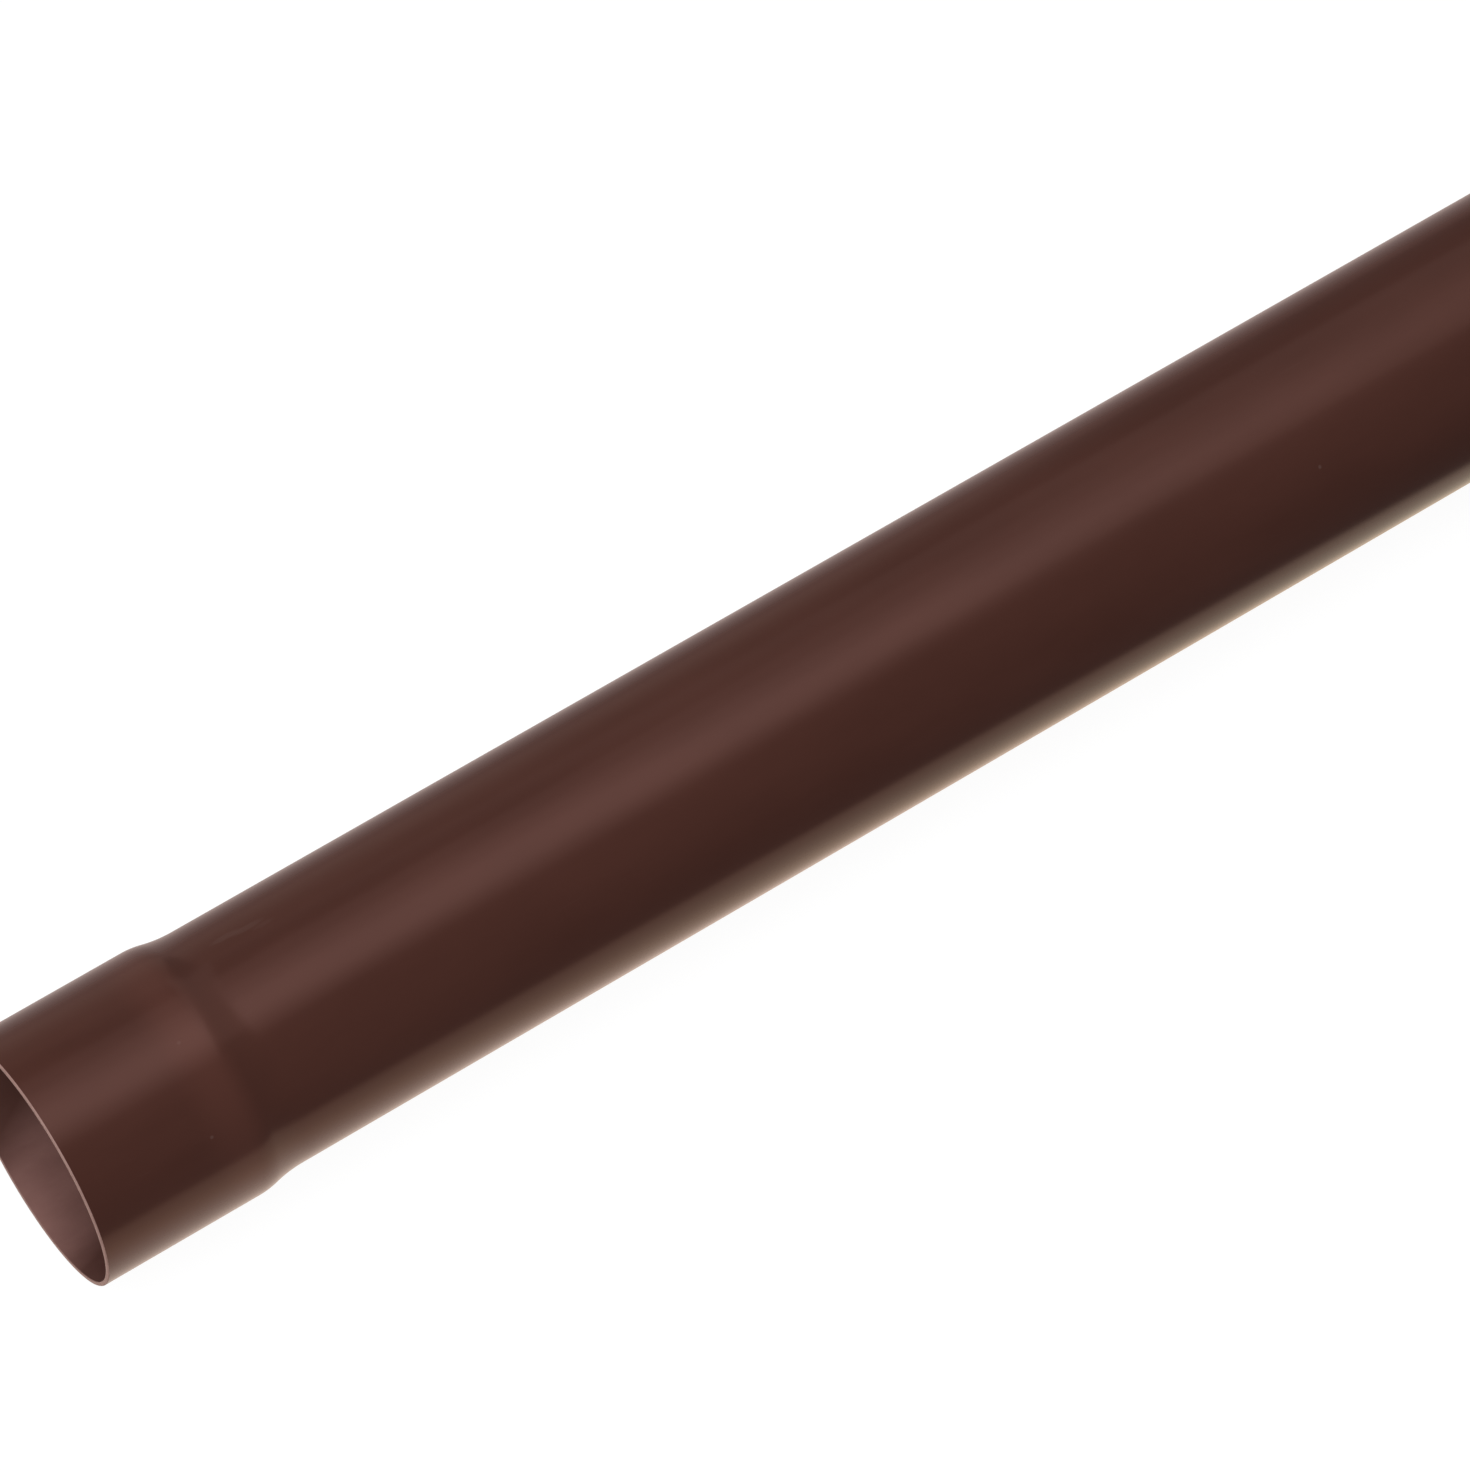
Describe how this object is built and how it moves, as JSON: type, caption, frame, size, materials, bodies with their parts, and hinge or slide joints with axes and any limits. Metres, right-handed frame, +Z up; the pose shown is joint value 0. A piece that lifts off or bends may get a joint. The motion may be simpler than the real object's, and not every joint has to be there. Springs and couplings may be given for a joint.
{
  "type": "pvc downpipe",
  "caption": "Round brown PVC rainwater downpipe, one straight tube with a socket formed on one end to take the plain end of the next pipe.",
  "frame": {"origin": "on the floor under the middle of the pipe's length", "axes": "+X along the pipe from the socket's mouth to the plain end, +Z up"},
  "size_m": [2, 0.0838, 0.084],
  "materials": {
    "brown_pvc": "satin"
  },
  "bodies": {
    "root": {"downpipe": "brown_pvc"}
  },
  "joints": []
}
